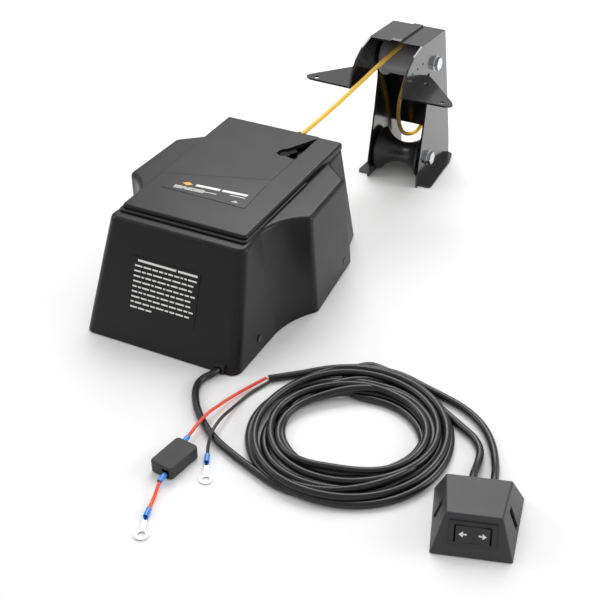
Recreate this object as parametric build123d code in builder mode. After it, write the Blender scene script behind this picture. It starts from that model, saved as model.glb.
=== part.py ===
"""Electric anchor winch kit: a covered drum winch, the bow davit its rope runs through,
a wedge-shaped rocker switch box, and the two cables and two ring-ended leads.

Millimetres, +Z up, the deck at z = 0. X runs across the winch, +Y points the way the
rope leaves. The origin is the centre of the winch's four deck bolts, on the deck.
"""
import os
from math import atan2, cos, degrees, hypot, pi, radians, sin, tan

from build123d import *

os.makedirs("parts", exist_ok=True)

# ---------------------------------------------------------------- fits
RUN = 0.05            # radial running fit between a shaft and its bush
GAP = 0.5             # side gap between parts that turn past each other
SEAT = 0.15           # radial clearance of parts that do not turn

# ---------------------------------------------------------------- winch cover
COVER_FRONT = -168.0  # front foot of the cover
COVER_WALL = 3.0
SHOULDER_Z = 136.0    # top of the winged body
TOP_Z = 143.5         # top of the raised lid block
LID_HALF = 83.5       # half width of the raised block
LID_FRONT, LID_REAR = -97.0, 149.0
PANEL_T = 2.5         # inset top panel
PANEL_GAP = 0.6
FOOT = 1.0            # the cover hangs this far above the deck
CORNER_R, WING_R = 12.0, 8.0          # rounding of the front corners, and of the wings
STEP_Z = 138.8        # top of the low step round the front of the block
SHOULDER_R = 6.5      # rounding round the top of the body

# outline of the cover, right half, from the front centre line to the rear:
# (x, y) at the foot and at the shoulder
FOOT_PTS = [(105, -168), (104, -73), (111.5, -41), (128.5, -13), (116, 103), (98, 138), (90, 168)]
TOP_PTS = [(92.5, -115), (88, -72), (98, -41), (125.5, -19), (121.5, 79), (86, 107), (82, 150)]

# ---------------------------------------------------------------- base plate
BASE_T = 4.0
PAD_T = 3.0           # rubber pads under the base plate
BASE_HALF = 94.0
BASE_FRONT, BASE_REAR = -156.0, 158.0
BOLT_X, BOLT_Y = 150.0, 250.0     # deck bolt spacing
BOLT_R = 4.25                     # clears an 8 mm deck bolt

# ---------------------------------------------------------------- winch mechanism
DRUM_Y, DRUM_Z = 27.0, 72.0
SHAFT_R = 6.0
FRAME_X = 52.0        # inner face of each side frame
FRAME_T = 4.0
FRAME_BOLT_X, FRAME_BOLT_Y = 43.0, (-88.5, 87.5)
CORE_R, FLANGE_R, WOUND_R = 22.0, 56.0, 45.0
FLANGE_T = 3.0
FLANGE_X = 47.0       # outer face of the drum flanges
MODULE = 1.5
BIG_T, MID_T, SMALL_T = 60, 48, 12    # drum gear, intermediate gear, both pinions
MOTOR_Y, MOTOR_Z = -64.0, 44.0
MOTOR_R, MOTOR_SHAFT_R = 28.0, 4.0
GEAR1_X, GEAR2_X = 60.0, 73.0     # near faces of the two gear stages
GEAR_W = 9.0

# ---------------------------------------------------------------- rope
ROPE_R = 3.0
ROPE_EXIT = (22.0, 151.0, 133.0)  # middle of the fairlead

# ---------------------------------------------------------------- rope lock
LOCK_X, LOCK_Y = 30.0, 94.0
LOCK_PIN_R = 3.0
POCKET_Z = 134.5      # floor of the triangular lever pocket

# ---------------------------------------------------------------- davit
DAVIT_X = 78.0        # centre plane of the davit
SHEET = 2.5
SIDE_HALF = 38.5      # outer face of each side plate from the centre plane
EAR_Z = 164.5         # top face of the two ears
PLATE = [(313, 0), (313, 20), (335, 100), (344, 140), (344, 162), (254, 162), (262, 182),
         (274, 195), (292, 205), (317, 210), (395, 203), (425, 29), (427, 0)]
EAR = [(37, 254), (97, 256), (103, 259), (105, 263), (102, 269), (57, 317), (47, 327), (37, 330)]
EAR_HOLES = [(90, 263), (51, 306)]
EAR_HOLE_R = 4.0
UPPER_Y, UPPER_Z = 362.0, 168.0
UPPER_R, UPPER_RIM_R = 24.0, 28.0
LOWER_Y, LOWER_Z = 348.0, 31.0
RIM_R, WAIST_R = 30.5, 14.5
ROLLER_HALF = 32.5
AXLE_R = 5.0

# ---------------------------------------------------------------- switch box
BOX_X, BOX_Y = 444.0, -308.5      # middle of the front foot
BOX_TURN = 16.4                   # degrees about Z
BOX_H = 40.0
BOX_WALL = 2.5
SWITCH_W, SWITCH_H = 46.0, 25.0   # bezel
ROCKER_W, ROCKER_H = 35.0, 16.5

# ---------------------------------------------------------------- cables
CABLE_D = 8.5
LEAD_D = 3.6
COIL_X, COIL_Y = 261.0, -205.0
COIL_OUT, COIL_IN, COIL_H = 109.0, 54.0, 27.0

NODES = []


def save(part, label):
    """Name one node and write its file."""
    part.label = label
    export_step(part, f"parts/{label}.step")
    NODES.append(label)


def cover_outline(pts, inset):
    """Edges of the cover's outline: straights, and an arc into each wing."""
    right = [(x - inset, y) for x, y in pts]
    right[0] = (right[0][0], right[0][1] + inset)
    right[-1] = (right[-1][0], right[-1][1] - inset)
    left = [(-x, y) for x, y in right]
    Line(left[0], right[0])
    Line(right[0], right[1])
    ThreePointArc(right[1], right[2], right[3])
    Line(right[3], right[4])
    Line(right[4], right[5])
    Line(right[5], right[6])
    Line(right[6], left[6])
    Line(left[6], left[5])
    Line(left[5], left[4])
    Line(left[4], left[3])
    ThreePointArc(left[3], left[2], left[1])
    Line(left[1], left[0])


def cover_sketch(pts, inset, z):
    """The cover's outline as a flat face at height z."""
    with BuildSketch(Plane.XY.offset(z)) as sketch:
        with BuildLine():
            cover_outline(pts, inset)
        make_face()
    return sketch


def block(x0, x1, y0, y1, z0, z1):
    """A plain box given by its faces."""
    with BuildPart() as solid:
        with Locations(((x0 + x1) / 2, (y0 + y1) / 2, (z0 + z1) / 2)):
            Box(x1 - x0, y1 - y0, z1 - z0)
    return solid.part


def rod(x0, x1, y, z, r, bore=0.0):
    """A round bar along X between two faces, with a through bore if asked."""
    with BuildPart() as solid:
        with BuildSketch(Plane.YZ.offset(x0)):
            with Locations((y, z)):
                Circle(r)
                if bore:
                    Circle(bore, mode=Mode.SUBTRACT)
        extrude(amount=x1 - x0)
    return solid.part


def post(x, y, z0, z1, r, bore=0.0):
    """A round bar along Z between two heights, with a through bore if asked."""
    with BuildPart() as solid:
        with BuildSketch(Plane.XY.offset(z0)):
            with Locations((x, y)):
                Circle(r)
                if bore:
                    Circle(bore, mode=Mode.SUBTRACT)
        extrude(amount=z1 - z0)
    return solid.part


def side_plate(points, x0, x1):
    """A plate facing X, from its (y, z) outline."""
    with BuildPart() as solid:
        with BuildSketch(Plane.YZ.offset(x0)):
            with BuildLine():
                Polyline(*points, close=True)
            make_face()
        extrude(amount=x1 - x0)
    return solid.part


def flat_plate(points, z0, z1):
    """A plate facing Z, from its (x, y) outline."""
    with BuildPart() as solid:
        with BuildSketch(Plane.XY.offset(z0)):
            with BuildLine():
                Polyline(*points, close=True)
            make_face()
        extrude(amount=z1 - z0)
    return solid.part


def hex_bar(x0, x1, y, z, across, bore=0.0):
    """A hexagonal bar along X, across its flats."""
    with BuildPart() as solid:
        with BuildSketch(Plane.YZ.offset(x0)):
            with Locations((y, z)):
                RegularPolygon(across / 2, 6, major_radius=False)
                if bore:
                    Circle(bore, mode=Mode.SUBTRACT)
        extrude(amount=x1 - x0)
    return solid.part


def turned(profile, y, z):
    """A turned piece about an axis along X: profile is (x, radius) points off the axis."""
    with BuildPart() as solid:
        with BuildSketch(Plane.XY):
            with BuildLine():
                Polyline(*profile, close=True)
            make_face()
        revolve(axis=Axis.X)
    return solid.part.moved(Location((0, y, z)))


def gear(teeth, x0, width, y, z, bore, aim, gap=False):
    """A spur gear about X; a tooth (or a gap) points along the angle aim, in radians.

    Tooth half angle at the pitch circle is pi / 2N less the backlash; the flanks lean
    in by the 20 degree pressure angle toward the tip and out toward the root.
    """
    pitch_r = MODULE * teeth / 2
    tip_r, root_r = pitch_r + 0.85 * MODULE, pitch_r - 1.2 * MODULE
    half = pi / (2 * teeth) * 0.84
    lean = tan(radians(20)) / pitch_r
    half_tip = half - (tip_r - pitch_r) * lean
    half_root = half + (pitch_r - root_r) * lean * 0.7
    start = aim + (pi / teeth if gap else 0)
    pts = []
    for k in range(teeth):
        mid = start + 2 * pi * k / teeth
        for ang, r in ((-half_root, root_r), (-half, pitch_r), (-half_tip, tip_r),
                       (half_tip, tip_r), (half, pitch_r), (half_root, root_r)):
            pts.append((y + r * cos(mid + ang), z + r * sin(mid + ang)))
    with BuildPart() as solid:
        with BuildSketch(Plane.YZ.offset(x0)):
            with BuildLine():
                Polyline(*pts, close=True)
            make_face()
            with Locations((y, z)):
                Circle(bore, mode=Mode.SUBTRACT)
        extrude(amount=width)
    return solid.part


def tube(points, diameter, label):
    """A round cord through straight runs joined by tangent arcs, and its lengths."""
    pts = [Vector(*p) for p in points]
    radii = []
    for a, b, c in zip(pts, pts[1:], pts[2:]):
        turn = radians((b - a).get_angle(c - b))
        radii.append(0.45 * min((b - a).length, (c - b).length) / tan(turn / 2))
    with BuildPart() as solid:
        with BuildLine() as path:
            FilletPolyline(*pts, radius=radii)
        with BuildSketch(Plane(pts[0], z_dir=pts[1] - pts[0])):
            Circle(diameter / 2)
        sweep(path=path.line)
    length = sum(edge.length for edge in path.line.edges())
    ideal = length * pi * diameter**2 / 4
    print(f"{label}: length {length:.0f}, tightest radius {min(radii):.1f}, "
          f"volume ratio {solid.part.volume / ideal:.3f}")
    return solid.part


def joined(parts):
    """Several separate solids as one node."""
    return Compound(children=[p for p in parts])


# ================================================================ cover



def cover_body(inset, z0, z1, corner_r, wing_r, rim_r=0.0):
    """The cover's tapering body, its uprights and the rim round its top rounded."""
    with BuildPart() as body:
        loft(sections=[cover_sketch(FOOT_PTS, inset, z0).sketch,
                       cover_sketch(TOP_PTS, inset, z1).sketch], ruled=True)
        uprights = body.edges().filter_by(lambda e: abs((e @ 0).Z - (e @ 1).Z) > 50)
        fillet(uprights.filter_by(lambda e: (e @ 0.5).Y < -130), corner_r)
        uprights = body.edges().filter_by(lambda e: abs((e @ 0).Z - (e @ 1).Z) > 100)
        fillet(uprights.filter_by(lambda e: (e @ 0.5).Y > -130), wing_r)
        if rim_r:
            fillet(body.edges().filter_by(lambda e: min((e @ 0).Z, (e @ 1).Z) > z1 - 0.5), rim_r)
    return body.part


def raised_block():
    """The block standing on the cover's top, its corners and upper edges rounded."""
    with BuildPart() as body:
        add(block(-LID_HALF, LID_HALF, LID_FRONT, LID_REAR, SHOULDER_Z - 0.5, TOP_Z))
        fillet(body.edges().filter_by(Axis.Z), 5)
        fillet(body.faces().sort_by(Axis.Z)[-1].edges(), 3.2)
    return body.part


def raised_step():
    """The low step along the front and the front half of both sides of the raised block."""
    with BuildPart() as body:
        add(block(-LID_HALF - 2.5, LID_HALF + 2.5, LID_FRONT - 5, 50, SHOULDER_Z - 0.5, STEP_Z))
        fillet(body.edges().filter_by(Axis.Z), 6)
        fillet(body.faces().sort_by(Axis.Z)[-1].edges(), 1.6)
    return body.part


with BuildPart() as cover:
    add(cover_body(0, FOOT, SHOULDER_Z, CORNER_R, WING_R, SHOULDER_R))
    add(raised_step())
    add(raised_block())
    add(cover_body(COVER_WALL, FOOT, SHOULDER_Z - COVER_WALL, CORNER_R - COVER_WALL,
                   WING_R - COVER_WALL), mode=Mode.SUBTRACT)
    # the raised block is hollow too, with a thicker web under the lever pocket
    add(block(-LID_HALF + 4, LID_HALF - 4, LID_FRONT + 4, LID_REAR - 6, 130, 138), mode=Mode.SUBTRACT)
    add(block(22.5, 58, 80, 143, 131, 139))
    # recess of the top panel, its front edge running slantwise
    add(flat_plate([(-LID_HALF, -15), (49.5, 27), (50.5, LID_REAR), (-LID_HALF, LID_REAR)],
                   TOP_Z - PANEL_T, TOP_Z), mode=Mode.SUBTRACT)
    # triangular pocket the rope lock lever swings in
    add(flat_plate([(21, 90), (49.5, 85), (50.4, 141)], POCKET_Z, TOP_Z), mode=Mode.SUBTRACT)
    add(post(LOCK_X, LOCK_Y, POCKET_Z, TOP_Z, 8.5), mode=Mode.SUBTRACT)
    add(post(LOCK_X, LOCK_Y, 125, POCKET_Z, LOCK_PIN_R + RUN), mode=Mode.SUBTRACT)
    # rope hole through the rear wall
    add(Cylinder(7.2, 24, rotation=(90, 0, 0), mode=Mode.PRIVATE).moved(
        Location((ROPE_EXIT[0], ROPE_EXIT[1] - 3, ROPE_EXIT[2]))), mode=Mode.SUBTRACT)
    # notch at the front foot for the cable gland
    add(block(76, 88, COVER_FRONT - 5, COVER_FRONT + 12, -1, 12), mode=Mode.SUBTRACT)
    # four counterbored screw holes low in the flanks
    for side in (-1, 1):
        for x, y in ((103.1, -110), (118.8, 80)):
            add(rod(*sorted((side * (x - 8), side * (x + 4))), y, 17, 2.3), mode=Mode.SUBTRACT)
            add(rod(*sorted((side * (x - 1.5), side * (x + 4))), y, 17, 4.7), mode=Mode.SUBTRACT)
save(cover.part, "winch_cover")

# the panel stops short of the lever pocket, following its two long sides
with BuildPart() as panel:
    add(flat_plate([(-LID_HALF + PANEL_GAP, -15 + PANEL_GAP), (49.5 - PANEL_GAP, 27 + PANEL_GAP),
                    (50.5 - PANEL_GAP, LID_REAR - PANEL_GAP),
                    (-LID_HALF + PANEL_GAP, LID_REAR - PANEL_GAP)], TOP_Z - PANEL_T, TOP_Z - 0.1))
    fillet(panel.edges().filter_by(lambda e: (e @ 0.5).Z > TOP_Z - 0.5 and (e @ 0.5).X < -LID_HALF + 1), 2.0)
    add(flat_plate([(20, 89), (50, 83.4), (51, 143), (49.6, 143)], 130, TOP_Z + 1), mode=Mode.SUBTRACT)
    add(post(LOCK_X, LOCK_Y, 130, TOP_Z + 1, 9.0), mode=Mode.SUBTRACT)
save(panel.part, "top_panel")

save(flat_plate([(-60, -16.5), (48.2, 13.5), (52, -44), (-62.5, -43)], TOP_Z, TOP_Z + 0.4), "top_decal")

# notice label on the sloping front face
FRONT_RUN = -115 + 168.0
FRONT_TILT = degrees(atan2(FRONT_RUN, SHOULDER_Z - FOOT))
with BuildPart() as notice:
    Box(91, 0.4, 66)
notice_at = Location((-4, COVER_FRONT + FRONT_RUN * 69 / 135 - 0.1, FOOT + 69)) * Location(
    (0, 0, 0), (-FRONT_TILT, 0, 0))
save(notice.part.moved(notice_at * Location((0, -0.25, 0))), "notice_label")

screws = []
for side in (-1, 1):
    for x, y in ((103.1, -110), (118.8, 80)):
        head = rod(*sorted((side * (x - 1.5), side * (x + 0.6))), y, 17, 4.2)
        shank = rod(*sorted((side * (x - 8.5), side * (x - 1.5))), y, 17, 2.0)
        screws.append(head + shank)
save(joined(screws), "cover_screws")

# ================================================================ base
Z0, Z1 = PAD_T, PAD_T + BASE_T
with BuildPart() as base:
    add(flat_plate([(-BASE_HALF, BASE_FRONT), (BASE_HALF, BASE_FRONT), (BASE_HALF, 120), (80, BASE_REAR),
                    (-80, BASE_REAR), (-BASE_HALF, 120)], Z0, Z1))
    for side in (-1, 1):
        for x, y in ((103.1, -110), (118.8, 80)):
            inner = x - 7.6
            add(block(*sorted((side * (BASE_HALF - 4), side * (inner + 2.8))), y - 9, y + 9, Z0, Z1))
            add(block(*sorted((side * inner, side * (inner + 2.8))), y - 9, y + 9, Z0, 24))
            add(rod(*sorted((side * (inner - 1), side * (inner + 4))), y, 17, 2.1), mode=Mode.SUBTRACT)
        for y in FRAME_BOLT_Y:
            add(post(side * FRAME_BOLT_X, y, Z0 - 1, Z1 + 1, 2.55), mode=Mode.SUBTRACT)
    with GridLocations(BOLT_X, BOLT_Y, 2, 2):
        Cylinder(BOLT_R, 40, mode=Mode.SUBTRACT)
save(base.part, "base_plate")

pads = []
for x in (-BOLT_X / 2, BOLT_X / 2):
    for y in (-BOLT_Y / 2, BOLT_Y / 2):
        pads.append(post(x, y, 0, PAD_T, 14, BOLT_R))
save(joined(pads), "base_pads")

# ================================================================ drum and gears
MID_RANGE = MODULE * (BIG_T + SMALL_T) / 2        # drum to intermediate shaft
MOTOR_RANGE = MODULE * (MID_T + SMALL_T) / 2      # intermediate to motor shaft
span_y, span_z = MOTOR_Y - DRUM_Y, MOTOR_Z - DRUM_Z
span = hypot(span_y, span_z)
along = (MID_RANGE**2 - MOTOR_RANGE**2 + span**2) / (2 * span)
off = (MID_RANGE**2 - along**2) ** 0.5
MID_Y = DRUM_Y + (along * span_y + off * span_z) / span
MID_Z = DRUM_Z + (along * span_z - off * span_y) / span
print(f"intermediate shaft at y {MID_Y:.3f}, z {MID_Z:.3f}")
MID_R = 5.0
FRAME_OUT = FRAME_X + FRAME_T
GUARD_X = 85.0

FRAME = [(-97, Z1), (97, Z1), (97, 40), (64, 108), (44, 120), (-44, 120), (-97, 82)]
TIES = [(-40, 14), (91, 30), (-28, 112)]
GUARD_POSTS = [(-90, 72), (-42, 14), (-34, 114)]


def side_frame(x0, driven):
    """One of the two upright plates; the driven side also carries the gear train."""
    with BuildPart() as frame:
        add(side_plate(FRAME, x0, x0 + FRAME_T))
        foot_x = (x0 - 16, x0 + FRAME_T) if x0 > 0 else (x0, x0 + FRAME_T + 16)
        add(block(*foot_x, -97, -80, Z1, Z1 + 3))
        add(block(*foot_x, 78, 97, Z1, Z1 + 3))
        for y in FRAME_BOLT_Y:
            add(post(FRAME_BOLT_X if x0 > 0 else -FRAME_BOLT_X, y, Z1 - 1, Z1 + 4, 2.55), mode=Mode.SUBTRACT)
        add(rod(x0 - 1, x0 + 5, DRUM_Y, DRUM_Z, 9), mode=Mode.SUBTRACT)
        if driven:
            add(rod(x0 - 1, x0 + 5, MID_Y, MID_Z, 8), mode=Mode.SUBTRACT)
            add(rod(x0 - 1, x0 + 5, MOTOR_Y, MOTOR_Z, 9), mode=Mode.SUBTRACT)
            for dz in (-18, 18):
                add(rod(x0 - 1, x0 + 5, MOTOR_Y, MOTOR_Z + dz, 2.6), mode=Mode.SUBTRACT)
    return frame.part


save(side_frame(FRAME_X, True), "side_frame_right")
save(side_frame(-FRAME_OUT, False), "side_frame_left")
save(joined([rod(-FRAME_X, FRAME_X, y, z, 4) for y, z in TIES] +
            [rod(FRAME_OUT, GUARD_X, y, z, 4) for y, z in GUARD_POSTS]), "frame_ties")

frame_bolts = []
for side in (-1, 1):
    for y in FRAME_BOLT_Y:
        shank = post(side * FRAME_BOLT_X, y, Z0 + 0.2, Z1 + 3, 2.4)
        frame_bolts.append(shank + post(side * FRAME_BOLT_X, y, Z1 + 3, Z1 + 6, 4.5))
SHAFT_END = GEAR1_X + GEAR_W + 1.5
save(joined([rod(-FRAME_OUT, -FRAME_X, DRUM_Y, DRUM_Z, 9 - SEAT, SHAFT_R + RUN),
             rod(FRAME_X, FRAME_OUT, DRUM_Y, DRUM_Z, 9 - SEAT, SHAFT_R + RUN),
             rod(FRAME_X, FRAME_OUT, MID_Y, MID_Z, 8 - SEAT, MID_R + RUN),
             rod(GUARD_X, GUARD_X + 2.5, MID_Y, MID_Z, 8 - SEAT, MID_R + RUN)]), "shaft_bushes")
save(rod(-FRAME_OUT - 3, SHAFT_END, DRUM_Y, DRUM_Z, SHAFT_R), "drum_shaft")
drum_profile = [(-FLANGE_X, SHAFT_R + 0.02), (-FLANGE_X, FLANGE_R), (-FLANGE_X + FLANGE_T, FLANGE_R),
                (-FLANGE_X + FLANGE_T, CORE_R), (FLANGE_X - FLANGE_T, CORE_R),
                (FLANGE_X - FLANGE_T, FLANGE_R), (FLANGE_X, FLANGE_R), (FLANGE_X, SHAFT_R + 0.02)]
save(turned(drum_profile, DRUM_Y, DRUM_Z), "drum")
WOUND_X = FLANGE_X - FLANGE_T - 0.1
save(rod(-WOUND_X, WOUND_X, DRUM_Y, DRUM_Z, WOUND_R, CORE_R + 0.05), "rope_winding")
to_mid = atan2(MID_Z - DRUM_Z, MID_Y - DRUM_Y)
to_motor = atan2(MOTOR_Z - MID_Z, MOTOR_Y - MID_Y)
save(gear(BIG_T, GEAR1_X, GEAR_W, DRUM_Y, DRUM_Z, SHAFT_R + 0.02, to_mid), "drum_gear")
save(gear(SMALL_T, GEAR1_X, GEAR_W, MID_Y, MID_Z, MID_R + 0.02, to_mid + pi, gap=True), "mid_pinion")
save(gear(MID_T, GEAR2_X, GEAR_W, MID_Y, MID_Z, MID_R + 0.02, to_motor), "mid_gear")
save(gear(SMALL_T, GEAR2_X, GEAR_W, MOTOR_Y, MOTOR_Z, MOTOR_SHAFT_R + 0.02, to_motor + pi, gap=True),
     "motor_pinion")
save(rod(FRAME_X - 2, GUARD_X + 4, MID_Y, MID_Z, MID_R), "mid_shaft")

with BuildPart() as guard:
    add(side_plate([(-98, 58), (-86, 24), (-60, 8), (-34, 8), (8, 52), (8, 92), (-26, 121), (-44, 121),
                    (-98, 86)], GUARD_X, GUARD_X + 2.5))
    add(rod(GUARD_X - 1, GUARD_X + 4, MID_Y, MID_Z, 8), mode=Mode.SUBTRACT)
    for y, z in GUARD_POSTS:
        add(rod(GUARD_X - 1, GUARD_X + 4, y, z, 2.1), mode=Mode.SUBTRACT)
save(guard.part, "gear_guard")
guard_screws = [rod(GUARD_X + 2.5, GUARD_X + 4.5, y, z, 3.6) + rod(GUARD_X + 0.1, GUARD_X + 2.5, y, z, 2)
                for y, z in GUARD_POSTS]

# ================================================================ motor
with BuildPart() as can:
    add(rod(-44, FRAME_X, MOTOR_Y, MOTOR_Z, MOTOR_R))
    add(rod(10, FRAME_X + 1, MOTOR_Y, MOTOR_Z, MOTOR_SHAFT_R + RUN), mode=Mode.SUBTRACT)
    for dz in (-18, 18):
        add(rod(FRAME_X - 9, FRAME_X + 1, MOTOR_Y, MOTOR_Z + dz, 2.1), mode=Mode.SUBTRACT)
save(can.part, "motor_can")
save(rod(-51, -44, MOTOR_Y, MOTOR_Z, MOTOR_R - 2), "motor_end_cap")
save(rod(12, GEAR2_X + GEAR_W + 1, MOTOR_Y, MOTOR_Z, MOTOR_SHAFT_R), "motor_shaft")
motor_screws = [rod(FRAME_OUT, FRAME_OUT + 2.8, MOTOR_Y, MOTOR_Z + dz, 4) +
                rod(FRAME_X - 8, FRAME_OUT, MOTOR_Y, MOTOR_Z + dz, 2) for dz in (-18, 18)]
save(joined(frame_bolts + guard_screws + motor_screws), "frame_screws")

# terminal block where the cable's conductors land
with BuildPart() as terminals:
    add(block(62, 86, -148, -126, Z1, Z1 + 14))
    for x in (68, 80):
        add(post(x, -137, Z1 + 9, Z1 + 15, 3.1), mode=Mode.SUBTRACT)
save(terminals.part, "terminal_block")

# cable gland in the cover's foot notch
with BuildPart() as gland:
    add(block(76.3, 87.7, COVER_FRONT - 1.5, COVER_FRONT + 5, 0.4, 11.4))
    add(Cylinder(CABLE_D / 2 + 0.2, 30, rotation=(90, 0, 0), mode=Mode.PRIVATE).moved(
        Location((82, COVER_FRONT, 5.6))), mode=Mode.SUBTRACT)
save(gland.part, "cable_gland")

# ================================================================ rope lock
LEVER_REST = 60.0     # degrees from +X; the lever swings to 0 to lock
LOBE_R = 17.2
with BuildPart() as lever:
    add(post(LOCK_X, LOCK_Y, POCKET_Z + 1.5, POCKET_Z + 6.5, 6.5))
    arm = block(0, 17, -3.5, 3.5, POCKET_Z + 1.5, POCKET_Z + 6.5)
    add(arm.moved(Location((LOCK_X, LOCK_Y, 0), (0, 0, LEVER_REST))))
    add(post(LOCK_X, LOCK_Y, POCKET_Z, POCKET_Z + 5, LOCK_PIN_R), mode=Mode.SUBTRACT)
save(lever.part, "lock_lever")
save(post(LOCK_X, LOCK_Y, 113, POCKET_Z + 5, LOCK_PIN_R), "lock_pin")
with BuildPart() as cam:
    add(post(LOCK_X, LOCK_Y, 121.5, 130.3, 8))
    lobe = flat_plate([(0, -8), (13, -6), (LOBE_R, -2.5), (LOBE_R, 2.5), (13, 6), (0, 8)], 121.5, 130.3)
    add(lobe.moved(Location((LOCK_X, LOCK_Y, 0), (0, 0, LEVER_REST + 180))))
    add(post(LOCK_X, LOCK_Y, 121, 131, LOCK_PIN_R + 0.02), mode=Mode.SUBTRACT)
save(cam.part, "lock_cam")
with BuildPart() as bracket:
    add(block(-6, 62, 131, 134, Z1, 112))
    add(block(-6, 62, 118, 134, Z1, Z1 + 3))
    add(block(-6, 62, 80, 134, 109, 112))
    add(block(0.2, 3.2, 84, 104, 112, 132))
    add(post(LOCK_X, LOCK_Y, 111, 121, 6))
    add(post(LOCK_X, LOCK_Y, 108, 122, LOCK_PIN_R + RUN), mode=Mode.SUBTRACT)
save(bracket.part, "lock_bracket")

with BuildPart() as fairlead:
    tube_len = Cylinder(7.1, 8, rotation=(90, 0, 0), mode=Mode.PRIVATE)
    collar = Cylinder(8.8, 2.2, rotation=(90, 0, 0), mode=Mode.PRIVATE)
    hole = Cylinder(6.3, 40, rotation=(90, 0, 0), mode=Mode.PRIVATE)
    add(tube_len.moved(Location((ROPE_EXIT[0], ROPE_EXIT[1] - 2.4, ROPE_EXIT[2]))))
    add(collar.moved(Location((ROPE_EXIT[0], ROPE_EXIT[1] + 2.7, ROPE_EXIT[2]))))
    add(hole.moved(Location(ROPE_EXIT)), mode=Mode.SUBTRACT)
save(fairlead.part, "rope_fairlead")

# ================================================================ davit
def both_sides(part):
    """A davit piece and its mirror image about the davit's centre plane."""
    return [part.moved(Location((DAVIT_X, 0, 0))),
            part.mirror(Plane.YZ).moved(Location((DAVIT_X, 0, 0)))]


SIDE_IN = SIDE_HALF - SHEET
with BuildPart() as channel:
    side = side_plate(PLATE, SIDE_IN, SIDE_HALF)
    holes = [rod(SIDE_IN - 1, SIDE_HALF + 1, UPPER_Y, UPPER_Z, AXLE_R + SEAT),
             rod(SIDE_IN - 1, SIDE_HALF + 1, LOWER_Y, LOWER_Z, AXLE_R + SEAT)]
    holes += [rod(SIDE_IN - 1, SIDE_HALF + 1, y, 184, 1.9) for y in (287, 303, 320)]
    for hole in holes:
        side -= hole
    flange = flat_plate([(SIDE_IN, 319), (54, 319), (56, 324), (52, 400), (46, 422), (SIDE_IN, 427)],
                        0, SHEET)
    # the hood is a thin sheet over both plates with a pressed rib along its middle
    hood = side_plate([(317, 210), (395, 203), (395, 203 - SHEET), (317, 210 - SHEET)], 0, SIDE_IN)
    rib = side_plate([(317, 210), (393, 203.2), (393, 205.4), (323, 212.2), (317, 211.6)], 0, 7)
    web = side_plate([(395, 203), (395 - SHEET, 203), (423.5 - SHEET, 38), (423.5, 38)], 0, SIDE_IN)
    for piece in (side, flange, hood, rib, web):
        for half in both_sides(piece):
            add(half)
save(channel.part, "davit_channel")

with BuildPart() as ear:
    add(flat_plate(EAR, EAR_Z - SHEET, EAR_Z))
    for x, y in EAR_HOLES:
        add(post(x, y, EAR_Z - 5, EAR_Z + 2, EAR_HOLE_R), mode=Mode.SUBTRACT)
ear_out = ear.part - block(0, SIDE_HALF, 200, 400, 100, 250)
save(joined(both_sides(ear_out)), "davit_ears")


def at_davit(part):
    return part.moved(Location((DAVIT_X, 0, 0)))


bolts, nuts, washers = [], [], []
head = SIDE_HALF + 1.5
for y, z in ((UPPER_Y, UPPER_Z), (LOWER_Y, LOWER_Z)):
    bolts.append(rod(-SIDE_HALF - 11, head, y, z, AXLE_R) + hex_bar(head, head + 5.5, y, z, 16))
    nuts.append(hex_bar(-SIDE_HALF - 9, -SIDE_HALF - 1.5, y, z, 16, AXLE_R + 0.02))
    washers += [rod(SIDE_HALF, head, y, z, 10, AXLE_R + 0.02),
                rod(-head, -SIDE_HALF, y, z, 10, AXLE_R + 0.02),
                rod(ROLLER_HALF + GAP, SIDE_IN, y, z, 9, AXLE_R + 0.02),
                rod(-SIDE_IN, -ROLLER_HALF - GAP, y, z, 9, AXLE_R + 0.02)]
for group, label in ((bolts, "roller_axles"), (nuts, "roller_nuts"), (washers, "roller_washers")):
    save(joined([at_davit(piece) for piece in group]), label)

h = ROLLER_HALF
upper_profile = [(-h, AXLE_R + RUN), (-h, UPPER_RIM_R), (-h + 4, UPPER_RIM_R), (-h + 9, UPPER_R),
                 (h - 9, UPPER_R), (h - 4, UPPER_RIM_R), (h, UPPER_RIM_R), (h, AXLE_R + RUN)]
save(at_davit(turned(upper_profile, UPPER_Y, UPPER_Z)), "upper_roller")
# hourglass: an arc from the waist up to a rounded rim at each end
sag = RIM_R - WAIST_R
arc_r = ((h - 2.5)**2 + sag**2) / (2 * sag)
waist_profile = [(x, WAIST_R + arc_r - (arc_r**2 - x**2) ** 0.5)
                 for x in [(h - 2.5) * (k / 9 - 1) for k in range(19)]]
lower_profile = [(-h, AXLE_R + RUN), (-h, RIM_R - 1.5)] + waist_profile + [(h, RIM_R - 1.5),
                                                                        (h, AXLE_R + RUN)]
save(at_davit(turned(lower_profile, LOWER_Y, LOWER_Z)), "anchor_roller")

# ================================================================ switch box
def at_box(part):
    """From the box's own frame (u across, v back from the front foot) to the kit's."""
    return part.moved(Location((BOX_X, BOX_Y, 0), (0, 0, BOX_TURN)))


def box_shape(inset, z0, z1):
    """The wedge: narrow flat top, front and rear sloping, flaring toward the rear."""
    def outline(z):
        t = z / BOX_H
        front, rear = 18 * t + inset, 93 - 21 * t - inset
        half_f, half_r = 40 - 13 * t - inset, 45.5 - 12.5 * t - inset
        return [(-half_f, front), (half_f, front), (half_r, rear), (-half_r, rear)]
    with BuildPart() as solid:
        for z in (z0, z1):
            with BuildSketch(Plane.XY.offset(z)):
                with BuildLine():
                    Polyline(*outline(z), close=True)
                make_face()
        loft(ruled=True)
    return solid.part


FACE_TILT = degrees(atan2(18, BOX_H))             # lean of the switch face from upright
FACE_MID = 22.5                                   # height of the middle of the rocker
face_at = Location((0, 18 * FACE_MID / BOX_H, FACE_MID)) * Location((0, 0, 0), (-FACE_TILT, 0, 0))


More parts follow.
